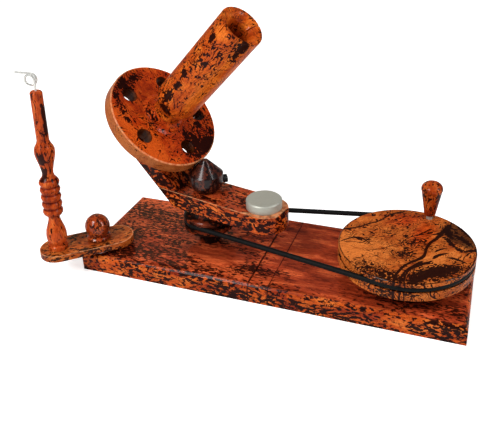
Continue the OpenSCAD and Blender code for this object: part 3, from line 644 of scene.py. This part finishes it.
# Spindle flange: red-orange, dark at its right and upper left, with a tan rim and five bores
flangeLook = {
    "place": (-142.1, 12.9, 178), "turn": (0, 44, -13.4), "seed": 35.0, "grain": 1.3,
    "light": (0.60, 0.085, 0.008), "mid": (0.46, 0.044, 0.004), "deep": (0.22, 0.015, 0.003),
    "dark": (0.011, 0.001, 0.0005), "fleckSize": 2.4, "flecks": 0.14, "clusters": 0.4, "streaks": 0.15,
    "lines": 0.52, "lineSize": 22.0, "lineCount": 14.0, "stainsDepth": 0.22,
    # painted highlight along the edge of the face
    "worn": {"straight": 0.0, "reach": 69.0, "level": 0.0, "width": 1.5},
    "bores": {"count": 5, "first": -4.0, "ring": 47.5, "near": 9.2, "far": 10.0, "dark": 0.8},
    "stains": [
        ((58.0, 18.0, 0.0), -20, (8.0, 22.0, 14.0)), ((46.0, 12.0, 0.0), 0, (9.0, 7.0, 12.0)),
        ((32.0, 6.0, 0.0), 20, (9.0, 5.0, 12.0)), ((30.0, 34.0, 0.0), 10, (6.0, 5.0, 12.0)),
        ((44.0, 44.0, 0.0), 30, (6.0, 6.0, 12.0)), ((-56.0, -3.0, 0.0), 10, (4.0, 7.0, 12.0)),
        ((-55.0, -27.0, 0.0), -20, (4.0, 9.0, 12.0)), ((-46.0, -42.0, 0.0), 20, (5.0, 4.0, 12.0)),
        ((-14.6, -51.9, 0.0), 20, (4.5, 3.5, 10.0)),
    ],
    "busy": [
        ((46.0, 22.0, 0.0), -35, (20.0, 34.0, 20.0)), ((-54.0, -18.0, 0.0), -10, (11.0, 28.0, 20.0)),
        ((-34.0, -46.0, 0.0), 10, (16.0, 6.0, 12.0)), ((0.0, -24.0, 0.0), 20, (18.0, 5.0, 12.0)),
    ],
    "calm": [
        ((30.0, -44.0, 0.0), 0, (24.0, 16.0, 30.0)), ((-34.0, 2.0, 0.0), 0, (18.0, 18.0, 20.0)),
        ((-22.0, -60.0, -8.0), 0, (44.0, 9.0, 14.0)),
    ],
    # painted light on the lower front of the face and of the rim
    "pale": [((34.0, -44.0, 0.0), 0, (26.0, 20.0, 30.0)), ((4.0, -62.0, -4.0), 0, (40.0, 14.0, 20.0))],
    "side": {
        "edge": (-1.7, -1.1),
        "light": (0.42, 0.12, 0.03), "mid": (0.34, 0.082, 0.018), "deep": (0.22, 0.045, 0.01),
        "flecks": 0.05, "lines": 0.1, "busy": [], "stains": [],
    },
}
dress(woodMaterial("Flange Wood", flangeLook), "spindle_flange")

# Spindle tube: orange with scribbled lines and black patches along its length, plainer at its lower side
tubeLook = {
    "place": (-142.1, 12.9, 178), "turn": (0, -46, -13.4), "seed": 44.0, "grain": 1.7,
    "light": (0.72, 0.16, 0.016), "mid": (0.55, 0.086, 0.007), "deep": (0.32, 0.038, 0.004),
    "dark": (0.010, 0.001, 0.0005), "fleckSize": 2.2, "flecks": 0.24, "clusters": 0.3, "streaks": 0.45,
    "lines": 0.7, "lineSize": 15.0, "lineCount": 10.0,
    "stains": [
        ((161.0, -15.0, -20.0), 0, (12.0, 9.0, 8.0)), ((148.0, -15.0, -20.0), 0, (6.0, 4.0, 4.0)),
        ((144.0, -23.5, 9.0), 0, (6.0, 6.0, 3.0)), ((86.0, -24.0, 7.0), -10, (4.0, 6.0, 6.0)),
        ((68.0, -24.5, 4.0), 10, (8.0, 6.0, 3.6)), ((46.0, -24.5, 4.0), 0, (11.0, 7.0, 5.5)),
        ((29.0, -24.0, -3.0), 0, (6.5, 7.0, 9.0)),
    ],
    "calm": [
        ((96.0, -6.0, -24.0), 0, (66.0, 16.0, 14.0)), ((52.0, -8.0, -23.0), 0, (36.0, 16.0, 12.0)),
        ((158.0, -22.0, 3.0), 0, (10.0, 10.0, 10.0)), ((164.0, 0.0, 0.0), 0, (12.0, 22.5, 22.5)),
    ],
    # painted light along the tube's lower side and near its mouth
    "pale": [((100.0, -14.0, -18.0), 0, (50.0, 12.0, 12.0)), ((158.0, -22.0, 3.0), 0, (8.0, 9.0, 9.0))],
}
dress(woodMaterial("Tube Wood", tubeLook), "spindle_tube")

# Yarn guide: bar with a painted highlight along its top edge, turned post with painted shade in its bead
# grooves, and ball knob
barLook = {
    "place": (-208, -59, 34), "turn": (0, 0, 41.4), "seed": 51.0, "grain": 1.8,
    "light": (0.60, 0.165, 0.03), "mid": (0.42, 0.085, 0.012), "deep": (0.24, 0.034, 0.006),
    "dark": (0.016, 0.003, 0.001), "fleckSize": 2.8, "flecks": 0.40, "clusters": 0.4, "streaks": 0.4,
    "lines": 0.3, "lineSize": 15.0, "lineCount": 6.0,
    # painted highlight along the bar's top edge
    "worn": {"middle": -14.3, "straight": 33.7, "reach": 21.5, "level": 4.0, "width": 0.8},
}
dress(woodMaterial("Guide Bar Wood", barLook), "guide_bar")
postLook = {
    "place": (-244, -90.7, 38), "turn": (0, -90, 0), "seed": 57.0, "grain": 3.0,
    "light": (0.66, 0.14, 0.028), "mid": (0.5, 0.07, 0.010), "deep": (0.26, 0.03, 0.006),
    "dark": (0.022, 0.003, 0.0015), "fleckSize": 2.4, "flecks": 0.26, "clusters": 0.4, "streaks": 0.3,
    "lines": 0.2, "lineSize": 12.0, "lineCount": 6.0,
    # painted shade in the grooves between the post's beads
    "beads": {
        "first": 45.2, "pitch": 9.2, "count": 5,
        "near": 0.3, "far": 1.9, "dark": 0.85, "full": 1.0, "gone": 1.5,
    },
    "stains": [
        ((170.0, 5.0, -10.5), 0, (13.0, 4.0, 6.0)), ((154.0, 3.4, -10.5), 0, (10.0, 3.0, 6.0)),
        ((115.0, -9.0, -5.0), 0, (9.0, 3.4, 6.0)), ((99.0, -5.6, -2.5), 0, (10.0, 3.0, 6.0)),
    ],
}
dress(woodMaterial("Post Wood", postLook), "guide_post")
knobLook = {
    "place": (-208, -59, 50), "turn": (0, -90, 0), "seed": 63.0, "grain": 1.6,
    "light": (0.50, 0.095, 0.018), "mid": (0.34, 0.046, 0.007), "deep": (0.17, 0.018, 0.004),
    "dark": (0.04, 0.006, 0.002), "fleckSize": 2.4, "flecks": 0.40, "clusters": 0.4, "streaks": 0.2,
    "lines": 0.6, "lineSize": 12.0, "lineCount": 7.0, "coat": 0.5,
}
dress(woodMaterial("Knob Wood", knobLook), "clamp_knob")
print("scene: wood done")

# Metal, brass and rubber
weightLook = {
    "place": (-9.2, -18.8, 98), "brush": (0.3, 0.3, 3.0), "colour": (0.46, 0.465, 0.40),
    "shade": (0.42, 0.425, 0.365), "roughness": 0.5, "metallic": 0.5,
}
dress(metalMaterial("Satin Disc", weightLook), "counterweight", "crank_ferrule")
steelLook = {
    "brush": (0.4, 0.4, 2.0), "colour": (0.55, 0.55, 0.56), "shade": (0.42, 0.42, 0.43), "roughness": 0.3,
}
dress(metalMaterial("Zinc Steel", steelLook), "under_nuts", "under_washers", "top_nuts", "top_washers",
      "pulley_screws", "counterweight_screw", "spindle_bolt", "spindle_washer", "spindle_top_washer",
      "spindle_lock_nut", "crank_pin", "clamp_bolt", "guide_spacer", "guide_post_screw")
postRodLook = {**steelLook, "place": (-88, 0, 0), "brush": (0.5, 0.5, 1.0), "pitch": 1.5}
dress(metalMaterial("Post Rod", postRodLook), "centre_post")
axleRodLook = {**steelLook, "place": (150, 0, 0), "brush": (0.5, 0.5, 1.0), "pitch": 1.75}
dress(metalMaterial("Axle Rod", axleRodLook), "wheel_axle")
brassLook = {
    "brush": (0.4, 0.4, 2.0), "colour": (0.6, 0.42, 0.16), "shade": (0.48, 0.33, 0.12), "roughness": 0.3,
}
dress(metalMaterial("Brass", brassLook), "rotor_bushes", "spindle_bushes", "wheel_bush", "knob_insert")
wireLook = {
    "brush": (1.0, 1.0, 1.0), "colour": (0.74, 0.74, 0.70), "shade": (0.66, 0.66, 0.63), "roughness": 0.25,
    "metallic": 0.5,
}
dress(metalMaterial("Bright Wire", wireLook), "yarn_eyelet")
blackLook = {
    "brush": (1.0, 1.0, 1.0), "colour": (0.035, 0.035, 0.036), "shade": (0.02, 0.02, 0.02), "roughness": 0.4,
}
dress(metalMaterial("Black Screw", blackLook), "cone_lock_screw")
beltLook = {
    "colour": (0.003, 0.003, 0.003), "dust": (0.006, 0.006, 0.005),
    "dustSize": 3.0, "dustEdge": (0.4, 0.7), "seed": 2.0,
    "roughness": 0.6, "shine": 0.12, "relief": 0.1, "reliefDepth": 0.0002,
}
dress(rubberMaterial("Belt Rubber", beltLook), "drive_belt")
print("scene: metal and rubber done")

# Floor: pale, and lifted to white for the camera, so that only soft shadows are left on it
floorLook = {"half": 4.0, "colour": (0.9, 0.9, 0.9, 1), "roughness": 0.9, "seen": 0.55, "mirrored": 0.06}


def makeFloor():
    half = floorLook["half"]
    mesh = bpy.data.meshes.new("floor")
    corners = [(-half, -half, 0), (half, -half, 0), (half, half, 0), (-half, half, 0)]
    mesh.from_pydata(corners, [], [(0, 1, 2, 3)])
    floor = bpy.data.objects.new("floor", mesh)
    bpy.context.scene.collection.objects.link(floor)
    material, tree, shader = newMaterial("Pale Floor")
    shader.inputs["Base Color"].default_value = floorLook["colour"]
    shader.inputs["Roughness"].default_value = floorLook["roughness"]
    shader.inputs["Specular IOR Level"].default_value = 0.0
    shader.inputs["Emission Color"].default_value = (1, 1, 1, 1)
    rays = tree.nodes.new("ShaderNodeLightPath").outputs
    seen = calc(tree, "MULTIPLY", rays["Is Camera Ray"], floorLook["seen"])
    mirrored = calc(tree, "MULTIPLY", rays["Is Glossy Ray"], floorLook["mirrored"])
    put(tree, shader.inputs["Emission Strength"], calc(tree, "ADD", seen, mirrored))
    mesh.materials.append(material)


# World: plain white to the camera, soft light on the piece, dimmer in reflections
worldLook = {"light": 0.3, "mirrored": 0.12}


def makeWorld():
    world = bpy.data.worlds.new("studio")
    bpy.context.scene.world = world
    world.use_nodes = True
    tree = world.node_tree
    tree.nodes.clear()
    surface = tree.nodes.new("ShaderNodeOutputWorld")
    background = tree.nodes.new("ShaderNodeBackground")
    rays = tree.nodes.new("ShaderNodeLightPath").outputs
    background.inputs["Color"].default_value = (1, 1, 1, 1)
    dimmed = calc(tree, "MULTIPLY", rays["Is Glossy Ray"], worldLook["mirrored"] - worldLook["light"])
    strength = calc(tree, "ADD", worldLook["light"], dimmed)
    put(tree, background.inputs["Strength"], calc(tree, "MAXIMUM", strength, rays["Is Camera Ray"]))
    tree.links.new(background.outputs[0], surface.inputs["Surface"])


# Soft boxes, all aimed at one point inside the piece. Glints says whether polished faces mirror a box.
lampAim = Vector((0, 0, 0.1))
softBoxes = {
    "key": {"place": (-0.7, -1.2, 1.4), "size": (0.6, 0.8), "power": 28.0, "glints": True},
    "right": {"place": (1.5, -0.1, 0.9), "size": (0.3, 0.9), "power": 11.0, "glints": True},
    "strip": {"place": (0.75, -0.1, 1.25), "size": (0.08, 0.5), "power": 1.6, "glints": True},
    "sheen": {"place": (-0.95, 1.2, 0.85), "size": (0.7, 0.5), "power": 1.4, "glints": True,
              "colour": (1.0, 0.72, 0.42)},
    "back": {"place": (-0.7, 1.3, 1.1), "size": (0.9, 0.4), "power": 6.0, "glints": False},
}


def makeLights():
    for name, box in softBoxes.items():
        light = bpy.data.lights.new(name, "AREA")
        light.shape = "RECTANGLE"
        light.size, light.size_y = box["size"]
        light.energy = box["power"]
        light.color = box.get("colour", (1.0, 1.0, 1.0))
        lamp = bpy.data.objects.new(name, light)
        bpy.context.scene.collection.objects.link(lamp)
        place = Vector(box["place"])
        turn = (lampAim - place).to_track_quat("-Z", "Y").to_matrix().to_4x4()
        lamp.matrix_world = Matrix.Translation(place) @ turn
        lamp.visible_glossy = box["glints"]


# Camera: found from the photograph. Azimuth, pitch and roll are in degrees, focal and centre in pixels.
cameraLook = {
    "place": (0.2134, -0.6318, 0.4678), "azimuth": -19.96, "pitch": 25.43, "roll": 1.55,
    "focal": 661.17, "centre": (262.74, 154.67), "image": (481, 433), "sensor": 36.0, "nearest": 0.01,
}


def makeCamera():
    azimuth, pitch, roll = (math.radians(cameraLook[key]) for key in ("azimuth", "pitch", "roll"))
    width, height = cameraLook["image"]
    centreX, centreY = cameraLook["centre"]
    turn = Matrix.Rotation(-azimuth, 4, "Z")
    turn = turn @ Matrix.Rotation(math.pi / 2 - pitch, 4, "X") @ Matrix.Rotation(-roll, 4, "Z")
    data = bpy.data.cameras.new("camera")
    data.sensor_width = cameraLook["sensor"]
    data.lens = cameraLook["focal"] / width * cameraLook["sensor"]
    data.shift_x = (width / 2 - centreX) / width
    data.shift_y = (centreY - height / 2) / width
    data.clip_start = cameraLook["nearest"]
    camera = bpy.data.objects.new("camera", data)
    bpy.context.scene.collection.objects.link(camera)
    camera.matrix_world = Matrix.Translation(cameraLook["place"]) @ turn
    bpy.context.scene.camera = camera


makeFloor()
makeWorld()
makeLights()
makeCamera()
bpy.context.scene.view_settings.view_transform = "Standard"
print("scene: floor, lights and camera done")
